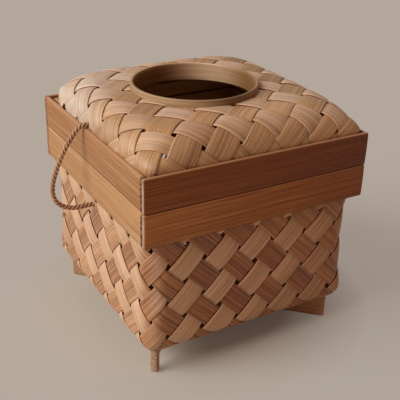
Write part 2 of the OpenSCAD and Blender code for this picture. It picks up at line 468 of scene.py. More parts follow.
def basket_strip(i, j, dx, dy, count):
    """Strip that crosses the bottom from grid point i, j in count steps along dx, dy, and climbs
    the sides at both ends, where it is cut level. Its overs and unders follow from the way it climbs."""
    climb = (basket_high[2] - CUT_BELOW - FIRST_ROW) / BASE_STEP
    tau = np.linspace(-climb, count + climb, int((count + 2 * climb) * ROWS_PER_STEP) + 1)
    t, w = np.meshgrid(tau, hand_width(BASKET_STRIP_W, 0.5), indexing="ij")
    w = w + hand_sway(t)
    start, turn = leaves_bottom(i, j, -dx, -dy)
    end, turn_end = leaves_bottom(i + dx * count, j + dy * count, dx, dy)
    aside = w / ROOT2
    first, last = np.clip(1 - climb - t, 0, 1), np.clip(1 - climb + t - count, 0, 1)
    t = t - (turn * first + turn_end * last) * aside / BASE_STEP
    up, rest = -BASE_STEP * t, BASE_STEP * (t - count)
    round_before, round_after = start + turn * up + aside, end + turn_end * rest - aside
    before = on_side(round_before, FIRST_ROW + up - turn * aside)
    after = on_side(round_after, FIRST_ROW + rest + turn_end * aside)
    x = BASE_STEP * (i + dx * t) - BASKET_HALF + dy * w / ROOT2
    y = BASE_STEP * (j + dy * t) - BASKET_HALF - dx * w / ROOT2
    sharp = np.where((t > count)[..., None], after, on_bottom(x, y))
    middle, normal = round_edges(np.where((t < 0)[..., None], before, sharp))
    rise = -turn * over_under(t)
    # The pale share is painted sheen and painted shade, and it changes from face to face.
    pale = np.interp(t, [0, count], [painted_light_share(start, turn), painted_light_share(end, turn_end)])
    pale = np.where(t > count, painted_light_share(round_after, turn_end), pale)
    pale = np.where(t < 0, painted_light_share(round_before, turn), pale)
    return strip_ribbon(middle, normal, rise, w, ROOT2 * BASE_STEP * t, pale)


odd = np.arange(1 - STEPS, STEPS, 2)
rising = [basket_strip(max(0, -c), max(0, c), 1, 1, STEPS - abs(c)) for c in odd]
falling = [basket_strip(max(0, c), STEPS + min(0, c), 1, -1, STEPS - abs(c)) for c in odd]
basket_a = make_piece("basket_strips_one_way", join(rising), "base")
basket_b = make_piece("basket_strips_other_way", join(falling), "base")
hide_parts("base_basket")
print(len(rising) + len(falling), "strips in the basket")


# %% [markdown]
# ## The lid's pillow
#
# The lid starts as a flat plaited mat that is pressed into its square frame, so that it bulges. A
# cloth simulation could do that, but bamboo doesn't stretch or crumple, so a plain formula keeps it
# crisper. A point of the flat mat keeps its direction from the middle. How far out and how high it
# ends up follow from its distance, walked along a flat top, a round shoulder and an upright skirt.

# %% Pillow surface
lid_low, lid_high = node_box("lid_weave")
SHOULDER_OUTER_R = 19.0
SHOULDER_R = SHOULDER_OUTER_R - WALL / 2
LID_HALF = lid_high[0] - WALL / 2
LID_TOP = lid_high[2] - WALL / 2
FLAT = LID_HALF - SHOULDER_R
LID_FOOT = FLAT + SHOULDER_R * np.pi / 2 + LID_TOP - SHOULDER_R - lid_low[2]
LID_SQUARE = 5
STEEPEST = 1.53
NUDGE = 0.05
print("flat top and whole mat, from the middle, in mm:", np.round([FLAT, LID_FOOT], 1))


def pillow(u, v):
    """Place on the lid of a point of the flat mat. Level lines are squares with rounded corners:
    the distance is the power mean of u and v, and the power grows, so corners get tighter, from the
    flat top down the shoulder."""
    big = np.maximum(abs(u), abs(v)) + 1e-9
    ratio = np.minimum(abs(u), abs(v)) / big
    far = big
    for _ in range(4):
        power = LID_SQUARE / np.cos(np.clip((far - FLAT) / SHOULDER_R, 0, STEEPEST))
        far = big * (1 + ratio**power) ** (1 / power)
    angle = np.clip((far - FLAT) / SHOULDER_R, 0, np.pi / 2)
    reach = np.minimum(far, FLAT) + SHOULDER_R * np.sin(angle)
    drop = SHOULDER_R * (1 - np.cos(angle)) + np.maximum(far - FLAT - SHOULDER_R * np.pi / 2, 0)
    height = np.maximum(LID_TOP - drop, lid_low[2])
    return np.stack([u * reach / far, v * reach / far, height], axis=-1)


def pillow_normal(u, v):
    """Outward normal: the cross product of the slopes along u and along v."""
    du = pillow(u + NUDGE, v) - pillow(u - NUDGE, v)
    dv = pillow(u, v + NUDGE) - pillow(u, v - NUDGE)
    normal = np.cross(du, dv)
    return normal / np.linalg.norm(normal, axis=-1, keepdims=True)


# %% [markdown]
# The mat wasn't set quite square into its frame: it is turned by a few degrees and moved to the right,
# and its back left corner is tucked in short, which leaves a dark gap behind the rim. The collar's hole
# isn't cut round the mat's middle either, so the strips beside it are not cut alike. Light and shade
# are painted into the mat's tones: a grey painted sheen at the back left, an olive painted shade on
# the right and a brown painted shade on the left and in front.

# %% Mat and hole
collar_low, collar_high = node_box("collar")
COLLAR_AT = (collar_low + collar_high)[:2] / 2
COLLAR_R = (collar_high - collar_low)[0] / 2
HOLE_R = COLLAR_R - 0.8
LID_STEP = 12.94
PITCH = ROOT2 * LID_STEP
MAT_TURN = -3.4
MAT_SHIFT = np.array([2.7, -1.5])
MAT_TRIM = 105.0
MAT_TUCK = 8.0
TUCK_DROP = 0.75
NARROWEST = 1.5
MAT_STRIPS = {1: range(-6, 6), -1: range(-6, 7)}
print("lid strips cross every", round(float(PITCH), 2), "mm")


def mat_way(way):
    """Unit vectors along and across the strips that run one way: 1 is from the front left corner to
    the back right one, and -1 is from the back left corner to the front right one."""
    turn = np.radians(45 * way + MAT_TURN)
    return np.array([np.cos(turn), np.sin(turn)]), np.array([-np.sin(turn), np.cos(turn)])


def to_foot(base, ahead):
    """How far it is from points of the flat mat, straight ahead, to the foot of the skirt."""
    return ((LID_FOOT * np.sign(ahead) - base) / ahead).min(axis=-1)


# %% Tones of the lid's strips, with their painted sheen and shade
def grows(x, start, end):
    """0 up to a start, 1 from an end on, and a straight line between."""
    return np.clip((x - start) / (end - start), 0, 1)


def lid_tones(u, v, way):
    """Share of the lighter tone at a place on the mat, and the share of grey and olive tints; all of it
    is painted sheen and shade. Every strip turns grey at the back left as painted sheen, and the darker
    ones are made pale there too. As painted shade, the darker ones turn olive on the right and a little
    on the left, and the lighter ones turn brown on the left and in front and a little grey on the right."""
    # Masks of painted sheen at the back left and painted shade on the right, the left and in front.
    painted_sheen = grows(1.2 * v - u, 55, 105)
    right = grows(u, 15, 45) * grows(v, -70, -30)
    left = grows(-u, 20, 50) * grows(v, -50, -20)
    front_from = np.interp(u, [-10, 20], [48, 62])
    painted_shade = 0.7 * grows(-u, 40, 70) * grows(-v, -30, 10)
    painted_shade = np.maximum(painted_shade, 0.9 * grows(-v, front_from, front_from + 30))
    # Painted sheen and painted shade for the two kinds of strip.
    pale, turned = 0.9 * painted_sheen, 0.75 * right + 0.35 * left
    if way < 0:
        pale, turned = 1 - painted_shade, 0.25 * right
    return pale, np.maximum(0.75 * painted_sheen, turned * (1 - painted_sheen))


# %% Lid strips
def lid_strip(k, way, end, width):
    """Strip number k from the mat's middle. end is -1 or 1 for what is left of a strip that the
    collar's hole cuts in two. It is 0 for a whole strip, which is narrowed to pass the hole, if it
    has to."""
    ahead, aside = mat_way(way)
    hole_along, hole_cross = (COLLAR_AT - MAT_SHIFT) @ np.transpose([ahead, aside])
    cross = PITCH * k + width
    base = MAT_SHIFT + cross[:, None] * aside
    stop = (end or 1) * to_foot(base, (end or 1) * ahead)
    cut = np.sqrt(np.maximum(HOLE_R**2 - (cross - hole_cross) ** 2, 0))
    start = hole_along + end * cut if end else -to_foot(base, -ahead)
    if way < 0:
        start, stop = (np.maximum(x, -MAT_TRIM - MAT_TUCK) for x in (start, stop))
    f = np.linspace(0, 1, max(8, int(abs(stop - start).max() / PITCH * ROWS_PER_STEP)))[:, None]
    along = start + (stop - start) * f
    cross = cross + hand_sway(along / PITCH)
    if not end:
        away = abs(cross - hole_cross)
        inner, outer = away.min(), away.max()
        hole = np.sqrt(np.maximum(HOLE_R**2 - (along - hole_along) ** 2, 0))
        squeeze = (outer - np.clip(hole, inner, outer - NARROWEST)) / (outer - inner)
        cross = hole_cross + np.sign(k) * (outer - (outer - away) * squeeze)
    tuck = np.maximum(-MAT_TRIM - along, 0) * (way < 0)
    u, v = (MAT_SHIFT[i] + (along + tuck) * ahead[i] + cross * aside[i] for i in (0, 1))
    middle = pillow(u, v) - TUCK_DROP * tuck[..., None] * [0, 0, 1]
    rise = way * over_under(along / PITCH + k)
    return strip_ribbon(
        middle, pillow_normal(u, v), rise, cross - PITCH * k, along, *lid_tones(u, v, way),
    )


def lid_strips(way):
    """All the strips that run one way. Those that the collar's hole is wide enough for are cut in two."""
    parts = []
    hole_cross = (COLLAR_AT - MAT_SHIFT) @ mat_way(way)[1]
    for k in MAT_STRIPS[way]:
        width = hand_width(LID_STRIP_W, 0.4)
        ends = (-1, 1) if abs(PITCH * k + width - hole_cross).max() < HOLE_R else (0,)
        parts += [lid_strip(k, way, end, width) for end in ends]
    return join(parts)


lid_a = make_piece("lid_strips_front_to_back", lid_strips(1), "lid")
lid_b = make_piece("lid_strips_left_to_right", lid_strips(-1), "lid")
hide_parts("lid_weave")

# %% [markdown]
# ## The slats of the two rims
#
# Each rim is four slats of thick bamboo. Those in front and at the back run the full width, so their
# end grain shows at the corners, and the other two butt against them. A cube with a Bevel modifier
# would do, but a slat that is worked out as a ribbon also gets its grain direction, and its end
# grain is a finish of its own. The outer face keeps a little of the round of the bamboo stem.

# %% Rim slats
JOINT_GAP = 1.0
SLAT_BOW = 0.3
SIDES = {"front": (0, -1), "right": (1, 0), "back": (0, 1), "left": (-1, 0)}
# Tone at the two ends of each slat. The front slats are given darker, redder tones than the rest, and
# darker towards the right, as painted shade.
RIM_TONES_AND_SHADE = {
    "lid_rim_front": (0.78, 1.0), "lid_rim_right": (0.62, 0.56),
    "lid_rim_back": (0.42, 0.36), "lid_rim_left": (0.38, 0.35),
    "base_rim_front": (0.49, 0.8), "base_rim_right": (0.42, 0.5),
    "base_rim_back": (0.5, 0.58), "base_rim_left": (0.26, 0.22),
}


def rim_slat(node, tone):
    """Slat that fills the box of a CAD node. Rows run along it and columns up it. Both are drawn in
    near their ends, which rounds the long edges and takes the sharpness off the ends. A butted slat
    is cut a little short in front, and its ends are marked for a painted shadow where it meets the
    next slat, most at the front. The tone changes along it, and on the front slats it is painted shade."""
    low, high = node_box(node)
    outward = np.array(SIDES[node.split("_")[-1]])
    way = np.array([-outward[1], outward[0]])
    face = max(outward @ low[:2], outward @ high[:2])
    length = abs(way) @ (high - low)[:2]
    thick = abs(outward) @ (high - low)[:2]
    tall = high[2] - low[2]
    butted = abs(outward[0])
    from_edge = np.array([0, 0.2, 0.65, 3, 6.5])
    up = np.concatenate([from_edge - tall / 2, [0], tall / 2 - from_edge[::-1]])
    up_inset = np.interp(tall / 2 - abs(up), [0, 0.2, 0.65], [0.6, 0.2, 0])
    from_end = np.array([0, 0.15, 0.5, 1.0, 1.9])
    middle = np.linspace(2.8 - length / 2, length / 2 - 2.8, 40)
    run = np.concatenate([from_end - length / 2, middle, length / 2 - from_end[::-1]])
    run_inset = np.interp(length / 2 - abs(run), [0, 0.15, 0.5, 1.0], [0.4, 0.22, 0.05, 0])
    inset = np.maximum(up_inset[None, :], run_inset[:, None])
    # Mark for a painted shadow where a butted slat meets the next one, strongest at the front end.
    joint = butted * np.interp(length / 2 - abs(run), [0, 1.0, 1.9], [1, 1, 0])
    joint = joint * np.where(way[1] * run < 0, 1, 0.3)
    run = run * (1 - butted * JOINT_GAP / length) + JOINT_GAP / 2 * way[1]
    run, up = np.meshgrid(run, up, indexing="ij")
    tone = np.interp(run, [-length / 2, length / 2], tone)
    up = up - np.sign(up) * run_inset[:, None] * (abs(up) > tall / 2 - 0.7)
    bow = SLAT_BOW * (2 * up / tall) ** 2

    def placed(out):
        flat = way * run[..., None] + outward * out[..., None]
        return np.concatenate([flat, (up + (low + high)[2] / 2)[..., None]], axis=-1)

    return ribbon(
        placed(face - inset - bow), placed(face - thick + up_inset + 0 * up), up, run,
        1 + 2 * thick / tall, seed=rng.uniform(0, 1), tone=tone, edge=2 * up / tall, joint=joint[:, None],
    )


rims = {}
for node, tone in RIM_TONES_AND_SHADE.items():
    rims[node] = make_piece(f"{node}_slat", rim_slat(node, tone), node.split("_")[0])
    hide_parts(node)

# %% [markdown]
# ## The collar
#
# The collar is a thin strip bent round into a ring. Its section, a rectangle with rounded corners, is
# carried round a circle that isn't quite true, since it was bent by hand over a fire. Painted shade
# darkens it in places, as a value on its points in smooth patches round the ring: all of the inside
# but the back right, and the outside at the front. Just below the top of the inner edge, at the back
# and on the left, the painted shade gives way to painted light, and the whole inside is painted lighter.

# %% Collar
COLLAR_ROWS = 180
COLLAR_WALL = 2.2
COLLAR_ROUND = 0.7
# From this depth to that one below the inner top edge, the painted shade gives way to painted light.
LIT_FROM, LIT_TO = 1.6, 3.6
SWING_OUT, SWING_UP = 0.15, 0.12
GRAIN_R = 40


def patch(angle, middle, reach):
    """Smooth patch round a ring: 1 at a middle angle and 0 where the angle is off by reach or more."""
    off = abs((np.degrees(angle) - middle + 180) % 360 - 180)
    return np.cos(np.pi / 2 * np.clip(off / reach, 0, 1)) ** 2


def collar_part():
    """Rounded rectangle carried round the collar's axis, with a small swing in its radius and height."""
    wall, round_r = COLLAR_WALL, COLLAR_ROUND
    tall = collar_high[2] - collar_low[2]
    turn = np.radians(np.linspace(0, 90, 5))
    corners = [(1, 1, 0), (-1, 1, 90), (-1, -1, 180), (1, -1, 270)]
    arcs = [
        np.stack([
            sx * (wall / 2 - round_r) + round_r * np.cos(turn + np.radians(start)),
            sz * (tall / 2 - round_r) + round_r * np.sin(turn + np.radians(start)),
        ], axis=1)
        for sx, sz, start in corners
    ]
    below_edge = np.array([[-wall / 2, tall / 2 - down] for down in (LIT_FROM, LIT_TO)])
    section = np.concatenate([*arcs[:2], below_edge, *arcs[2:]])
    angle = 2 * np.pi * np.arange(COLLAR_ROWS)[:, None] / COLLAR_ROWS
    out = COLLAR_R - wall / 2 - SWING_OUT + section[:, 0] + SWING_OUT * np.sin(2 * angle + 0.8)
    up = collar_high[2] - tall / 2 - SWING_UP + section[:, 1] + SWING_UP * np.sin(3 * angle + 2)
    x, y = COLLAR_AT[0] + out * np.cos(angle), COLLAR_AT[1] + out * np.sin(angle)
    across = np.append(section[:, 1], section[0, 1])
    along = np.arange(COLLAR_ROWS + 1) * 2 * np.pi * GRAIN_R / COLLAR_ROWS
    inside = np.tile(section[:, 0] < 0, (COLLAR_ROWS, 1))
    # Painted shade, with painted light just below the inner top edge at the back and on the left.
    worn_and_lit = np.interp(section[:, 1], below_edge[::-1, 1], [0, 0.6]) * patch(angle, 125, 75)
    scorch = np.where(inside, (1 - patch(angle, 52, 55)) * (1 - worn_and_lit), 0.85 * patch(angle, -78, 50))
    return closed_ring(np.stack([x, y, up], axis=-1), across, along, inside=inside, scorch=scorch)


collar = make_piece("bent_collar", collar_part(), "lid")
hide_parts("collar")

# %% [markdown]
# ## The runners
#
# Two slats on edge cross under the basket and stand out as little feet under its corners. The one
# from the front left corner is a bar with a foot at each end, and its bar lies in a notch in the top
# of the other. A grid can have a notch or a step too: two rows at one place, one of full height and
# one cut back, make its upright wall.

# %% Runners
BAR_H = 7.0
FOOT_L = 4.5
RUNNER_T = 5.0
TIP_R = 1.2
NOTCH_HALF = 2.6


def runner_part(node, angle, bar):
    """Slat on edge along a diagonal. Its ends are rounded like a pencil's side and its lower
    corners are rounded by wear. It is cut away below for a bar with two feet, or notched above if it
    isn't a bar."""
    low, high = node_box(node)
    tall, thick, tip_r = high[2] - low[2], RUNNER_T, TIP_R
    half = (basket_high[0] - BASKET_R - WALL / 2) * ROOT2
    turn = np.radians(np.linspace(0, 90, 6))
    step = half - FOOT_L if bar else NOTCH_HALF
    outside = np.concatenate([half - tip_r + tip_r * np.cos(turn), np.linspace(half - 2, step + 0.3, 20)])
    run = np.concatenate([outside, [step, step], np.linspace(step - 0.3, 0.3, 20)])
    cut = np.arange(len(run)) > len(outside)
    run, cut = np.concatenate([-run, run[::-1]]), np.concatenate([cut, cut[::-1]])
    from_tip = half - abs(run)
    tip_inset = tip_r - np.sqrt(np.maximum(tip_r**2 - np.maximum(tip_r - from_tip, 0) ** 2, 0))
    worn_and_lit = np.interp(from_tip, [0, 0.4, 1.2, 2.5], [1.6, 0.8, 0.25, 0])
    foot = np.where(cut & bar, tall - BAR_H, worn_and_lit)
    head = np.where(cut & (not bar), tall - BAR_H - 0.1, tall)
    from_edge = np.array([0, 0.25, 0.8, 3])
    up = np.concatenate([foot[:, None] + from_edge, head[:, None] - from_edge[::-1]], axis=1)
    edge_inset = np.array([0.7, 0.25, 0, 0, 0, 0, 0.25, 0.7])
    out = thick / 2 - np.maximum(tip_inset[:, None], edge_inset[None, :])
    way = np.array([np.cos(np.radians(angle)), np.sin(np.radians(angle))])
    aside = np.array([-way[1], way[0]])
    run = np.broadcast_to(run[:, None], up.shape)

    def cheek(q):
        flat = way * run[..., None] + aside * q[..., None]
        return np.concatenate([flat, up[..., None]], axis=-1)

    seed = rng.uniform(0, 1)
    return ribbon(cheek(out), cheek(-out), up, run, seed=seed, tone=0.4, edge=0 * up, joint=0.0)


runners = {}
for node, angle, bar in (("runner_a", 45, True), ("runner_b", -45, False)):
    runners[node] = make_piece(f"{node}_slat", runner_part(node, angle, bar), "base")
    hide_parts(node)

# %% [markdown]
# ## Bamboo as a material
#
# Bamboo has no rings, only fibres: fine lines that run straight along the piece, broader streaks of
# lighter and darker tone, and a few dark hairlines. All of them are noise that is stretched a long
# way in one direction. Every bamboo finish needs them, so they are a node group. It takes a place on
# the piece as metres across and along the grain, and puts out three masks.

# %% Node helpers
def add(tree, kind, inputs=(), **settings):
    """New node in a tree. settings are the node's own properties. inputs gives its sockets, by name
    or number, either a plain value or the output that feeds them."""
    made = tree.nodes.new(kind)
    for key, value in settings.items():
        setattr(made, key, value)
    for key, value in dict(inputs).items():
        if isinstance(value, bpy.types.NodeSocket):
            tree.links.new(value, made.inputs[key])
        else:
            made.inputs[key].default_value = value
    return made


def colour(red, green, blue):
    """Linear colour, with alpha, from the usual 0 to 255 numbers of a picture."""
    c = np.array([red, green, blue]) / 255
    linear = np.where(c <= 0.04045, c / 12.92, ((c + 0.055) / 1.055) ** 2.4)
    return (*[float(x) for x in linear], 1.0)


def noise(tree, vector, stretch, detail):
    """Noise whose place is multiplied by stretch first. A small number draws it out."""
    moved = add(tree, "ShaderNodeVectorMath", {0: vector, 1: stretch}, operation="MULTIPLY")
    inputs = {"Vector": moved.outputs[0], "Scale": 1.0, "Detail": detail}
    return add(tree, "ShaderNodeTexNoise", inputs).outputs["Fac"]


def math(tree, operation, a, b):
    """One sum on two values."""
    return add(tree, "ShaderNodeMath", {0: a, 1: b}, operation=operation).outputs[0]


def spread(tree, value, low, high, to_low=0.0, to_high=1.0):
    """Value from low to high, mapped to another range and clamped there."""
    inputs = {"Value": value, "From Min": low, "From Max": high, "To Min": to_low, "To Max": to_high}
    return add(tree, "ShaderNodeMapRange", inputs).outputs["Result"]


def swing(tree, mask, to_low, to_high):
    """Noise, which lies mostly between 0.3 and 0.7, mapped to another range."""
    return spread(tree, mask, 0.3, 0.7, to_low, to_high)


def blend_colour(tree, factor, a, b, kind="MIX"):
    """Colour between a and b, or a multiplied by b."""
    mixed = add(tree, "ShaderNodeMix", {0: factor, 6: a, 7: b}, data_type="RGBA", blend_type=kind)
    return mixed.outputs[2]


def ramp(tree, value, stops):
    """Colour ramp with a colour at each of the given places."""
    made = add(tree, "ShaderNodeValToRGB", {"Fac": value})
    line = made.color_ramp.elements
    while len(line) < len(stops):
        line.new(0.5)
    for element, (place, tint) in zip(line, stops):
        element.position = place
        element.color = tint
    return made.outputs["Color"]


# %% Fibre group
fibre = bpy.data.node_groups.new("bamboo_fibre", "ShaderNodeTree")
fibre.interface.new_socket("Grain", in_out="INPUT", socket_type="NodeSocketVector")
for name in ("Fine", "Streak", "Hairline"):
    fibre.interface.new_socket(name, in_out="OUTPUT", socket_type="NodeSocketFloat")
grain_in = add(fibre, "NodeGroupInput").outputs["Grain"]
hair = noise(fibre, grain_in, (1850, 7, 31), 1.0)
add(fibre, "NodeGroupOutput", {
    "Fine": noise(fibre, grain_in, (2300, 24, 57), 2.0),
    "Streak": noise(fibre, grain_in, (560, 6, 43), 2.0),
    "Hairline": spread(fibre, hair, 0.52, 0.58),
})
print("fibre group has", len(fibre.nodes), "nodes")

# %% [markdown]
# ## Finishes
#
# The strips shine along their fibres, as hair does, so that strips that run one way look lighter
# than those that cross them. That is the shader's anisotropy, with its tangent across the strip, taken
# from the UV map, made stronger by a painted sheen in the share of the lighter tone. The cut edges of
# a strip are paler, partly as a painted highlight, its underside is darkened as painted shade, and
# each strip has its own shade. Slats use the same fibres with a ramp from pale tan to red-brown. End
# grain shows cut fibres as dark dots.

# %% Finish helpers
def new_finish(name):
    """Material with an empty Principled shader, and its node tree."""
    finish = bpy.data.materials.new(name)
    finish.use_nodes = True
    return finish, finish.node_tree, finish.node_tree.nodes["Principled BSDF"]


def value_of(tree, name):
    """Value that is stored on the mesh's points under a name."""
    return add(tree, "ShaderNodeAttribute", attribute_name=name).outputs["Fac"]


def fibres_by_uv(tree):
    """Fibre masks along the piece's own UV map. The piece's seed moves them, so no two are alike."""
    grain = add(tree, "ShaderNodeUVMap", uv_map="grain").outputs["UV"]
    shift = add(tree, "ShaderNodeCombineXYZ", {"Z": value_of(tree, "seed")}).outputs[0]
    placed = add(tree, "ShaderNodeVectorMath", {0: grain, 1: shift}, operation="ADD").outputs[0]
    group = add(tree, "ShaderNodeGroup", node_tree=fibre)
    tree.links.new(placed, group.inputs["Grain"])
    return group.outputs


def bumped(tree, shader, height, strength, distance):
    """Bump from a height value into the shader's normal."""
    bump = add(tree, "ShaderNodeBump", {"Height": height, "Strength": strength, "Distance": distance})
    tree.links.new(bump.outputs["Normal"], shader.inputs["Normal"])


def tones(*stops):
    """Stops of a colour ramp, given as a place and a picture colour each."""
    return [(place, colour(*tone)) for place, tone in stops]


def dress(pieces, *finishes):
    """Gives pieces their finishes, one for each of their slots."""
    for piece in pieces:
        for finish in finishes:
            piece.data.materials.append(finish)
    print([finish.name for finish in finishes], "on", [piece.name for piece in pieces])


# %% Strip finish
HAIR_TINT = (0.38, 0.28, 0.22, 1.0)
# Painted shade on the underside of a strip, where it lies under its neighbours.
UNDERSIDE_SHADE = (0.62, 0.4, 0.3, 1.0)
# Pale cut edges: partly the paler wood, partly a painted highlight.
EDGE_TINT = colour(226, 182, 142)
# Olive painted shade for tan strips and grey painted sheen for pale ones.
SHADE_OLIVE, SHEEN_GREY = colour(144, 117, 75), colour(220, 202, 183)


def strip_finish(name, tan, pale, lines, rough):
    """Split bamboo for woven strips, with two ramps of tones, mixed by how pale a strip is, a share that
    carries painted sheen and shade. Its shade, streaks and fibres choose the place on both. A value on
    the points then turns it grey as painted sheen and olive as painted shade. lines says how strong the
    hairlines are on each. The cut edges are pale, partly as a painted highlight, and the underside is
    darkened as painted shade."""
    finish, tree, shader = new_finish(name)
    masks = fibres_by_uv(tree)
    streak = swing(tree, masks["Streak"], -0.1, 0.1)
    fine = swing(tree, masks["Fine"], -0.2, 0.2)
    own = spread(tree, value_of(tree, "shade"), 0, 1, 0.42, 0.62)
    tone = math(tree, "ADD", own, math(tree, "ADD", streak, fine))
    share = value_of(tree, "pale")
    tint = blend_colour(tree, share, ramp(tree, tone, tan), ramp(tree, tone, pale))
    # Grey painted sheen and olive painted shade, by a value on the points.
    sheen_shade_tint = blend_colour(tree, share, SHADE_OLIVE, SHEEN_GREY)
    tint = blend_colour(tree, value_of(tree, "aged"), tint, sheen_shade_tint)
    hairs = math(tree, "MULTIPLY", masks["Hairline"], spread(tree, share, 0, 1, *lines))
    tint = blend_colour(tree, hairs, tint, HAIR_TINT, "MULTIPLY")
    # Pale cut edges, partly a painted highlight.
    cut = spread(tree, value_of(tree, "edge"), 0.93, 1.0, 0.0, 0.5)
    tint = blend_colour(tree, cut, tint, EDGE_TINT)
    # Painted shade on the underside.
    tint = blend_colour(tree, value_of(tree, "under"), tint, UNDERSIDE_SHADE, "MULTIPLY")
    tree.links.new(tint, shader.inputs["Base Color"])
    roughness = swing(tree, masks["Fine"], rough + 0.1, rough - 0.06)
    tree.links.new(roughness, shader.inputs["Roughness"])
    shader.inputs["Specular IOR Level"].default_value = 0.6
    shader.inputs["Anisotropic"].default_value = 0.8
    tangent = add(tree, "ShaderNodeTangent", direction_type="UV_MAP", uv_map="grain")
    tree.links.new(tangent.outputs[0], shader.inputs["Tangent"])
    height = math(tree, "SUBTRACT", math(tree, "ADD", masks["Fine"], masks["Streak"]), masks["Hairline"])
    bumped(tree, shader, height, 0.35, 0.00025)
    return finish


# %% Basket and lid dressed
basket_finish = strip_finish(
    "basket_strips",
    tones((0.0, (112, 56, 25)), (0.4, (155, 92, 45)), (0.65, (186, 123, 68)), (1.0, (216, 166, 111))),
    tones((0.0, (162, 114, 80)), (0.4, (208, 162, 125)), (0.65, (227, 188, 152)), (1.0, (240, 213, 184))),
    (0.85, 0.4),
    0.42,
)
lid_finish = strip_finish(
    "lid_strips",
    tones((0.0, (140, 97, 58)), (0.4, (188, 143, 98)), (0.65, (212, 171, 126)), (1.0, (228, 195, 156))),
    tones((0.0, (160, 120, 86)), (0.4, (204, 169, 137)), (0.65, (222, 192, 162)), (1.0, (238, 217, 192))),
    (0.55, 0.35),
    0.42,
)
dress([basket_a, basket_b], basket_finish, basket_finish)
dress([lid_a, lid_b], lid_finish, lid_finish)


# %% Slat finish
def slat_finish(name, stops):
    """Planed bamboo slat. Its tone along the ramp is the piece's own, moved by streaks and fibres; on
    the front slats it holds painted shade. The upper edge is pale as a painted highlight, the lower one
    dark as painted shadow, and a butted end has a line of dark dashes, a painted shadow where the slats
    meet."""
    finish, tree, shader = new_finish(name)
    masks = fibres_by_uv(tree)
    streak = swing(tree, masks["Streak"], -0.07, 0.07)
    fine = swing(tree, masks["Fine"], -0.12, 0.12)
    own = math(tree, "ADD", value_of(tree, "tone"), streak)
    tint = ramp(tree, math(tree, "ADD", own, fine), stops)
    lines = math(tree, "MULTIPLY", masks["Hairline"], 0.7)
    tint = blend_colour(tree, lines, tint, (0.72, 0.6, 0.5, 1.0), "MULTIPLY")
    edge = value_of(tree, "edge")
    # Painted highlight on the upper edge and painted shadow on the lower one.
    tint = blend_colour(tree, spread(tree, edge, 0.94, 0.985, 0.0, 0.5), tint, colour(212, 168, 130))
    tint = blend_colour(tree, spread(tree, edge, -0.93, -0.98, 0.0, 0.7), tint, colour(52, 24, 12))
    place = add(tree, "ShaderNodeTexCoord").outputs["Object"]
    # Dark dashes at a butted end: painted shadow where the slats meet.
    dashes = spread(tree, noise(tree, place, (90, 90, 520), 1.0), 0.4, 0.52, 0.25, 0.9)
    dashes = math(tree, "MULTIPLY", dashes, value_of(tree, "joint"))
    tint = blend_colour(tree, dashes, tint, colour(62, 32, 18))
    tree.links.new(tint, shader.inputs["Base Color"])
    tree.links.new(swing(tree, masks["Fine"], 0.5, 0.36), shader.inputs["Roughness"])
    shader.inputs["Specular IOR Level"].default_value = 0.25
    bumped(tree, shader, math(tree, "SUBTRACT", masks["Fine"], masks["Hairline"]), 0.3, 0.0003)
    return finish


# %% End grain
def end_grain_finish(name):
    """Cut ends of the fibres: pale ground with dark pores."""
    finish, tree, shader = new_finish(name)
    place = add(tree, "ShaderNodeTexCoord").outputs["Object"]
    pores = noise(tree, place, (1100, 1100, 600), 1.0)
    ground = noise(tree, place, (300, 300, 120), 2.0)
    tint = ramp(tree, ground, tones((0.3, (162, 130, 106)), (0.7, (194, 163, 139))))
    tint = blend_colour(tree, spread(tree, pores, 0.54, 0.66, 0.0, 0.6), tint, colour(84, 48, 28))
    tree.links.new(tint, shader.inputs["Base Color"])
    tree.links.new(swing(tree, pores, 0.6, 0.8), shader.inputs["Roughness"])
    bumped(tree, shader, pores, 0.4, -0.0003)
    return finish


# %% Rims and runners dressed
# The red-brown end of this ramp, used on the front slats, is painted shade.
rim_finish = slat_finish("rim_slat_bamboo", tones(
    (0.0, (208, 166, 120)), (0.22, (194, 148, 102)), (0.4, (158, 112, 74)),
    (0.5, (200, 136, 80)), (0.66, (162, 97, 48)), (1.0, (116, 60, 29)),
))
runner_finish = slat_finish("runner_bamboo", tones(
    (0.0, (210, 176, 144)), (0.5, (180, 142, 110)), (1.0, (138, 102, 74)),
))
end_finish = end_grain_finish("cut_ends")
dress(rims.values(), rim_finish, end_finish)
dress(runners.values(), runner_finish, end_finish)


# %% Collar and inner slats
def level_grain_finish(name, stops, lighter=0.0):
    """Bamboo whose fibres lie level, on Object coordinates: noise that is drawn out along X and Y
    and close up and down, so that lines follow a bent ring as well as a straight slat. Points that
    are marked as inside are made lighter by a given share of the ramp, as painted light, and a value
    on the points darkens them as painted shade."""
    finish, tree, shader = new_finish(name)
    place = add(tree, "ShaderNodeTexCoord").outputs["Object"]
    fine = noise(tree, place, (24, 24, 2100), 2.0)
    streak = noise(tree, place, (9, 9, 420), 3.0)
    dark = spread(tree, noise(tree, place, (14, 14, 1000), 1.0), 0.62, 0.72)
    tone = math(tree, "ADD", math(tree, "MULTIPLY", streak, 0.6), math(tree, "MULTIPLY", fine, 0.4))
    # Painted light on the inside.
    tone = math(tree, "ADD", tone, math(tree, "MULTIPLY", value_of(tree, "inside"), lighter))
    tint = ramp(tree, tone, stops)
    tint = blend_colour(tree, math(tree, "MULTIPLY", dark, 0.3), tint, colour(86, 50, 26))
    # Painted shade from the value on the points.
    tint = blend_colour(tree, value_of(tree, "scorch"), tint, (0.33, 0.24, 0.14, 1.0), "MULTIPLY")
    tree.links.new(tint, shader.inputs["Base Color"])
    tree.links.new(swing(tree, fine, 0.52, 0.38), shader.inputs["Roughness"])
    bumped(tree, shader, fine, 0.3, 0.0003)
    return finish


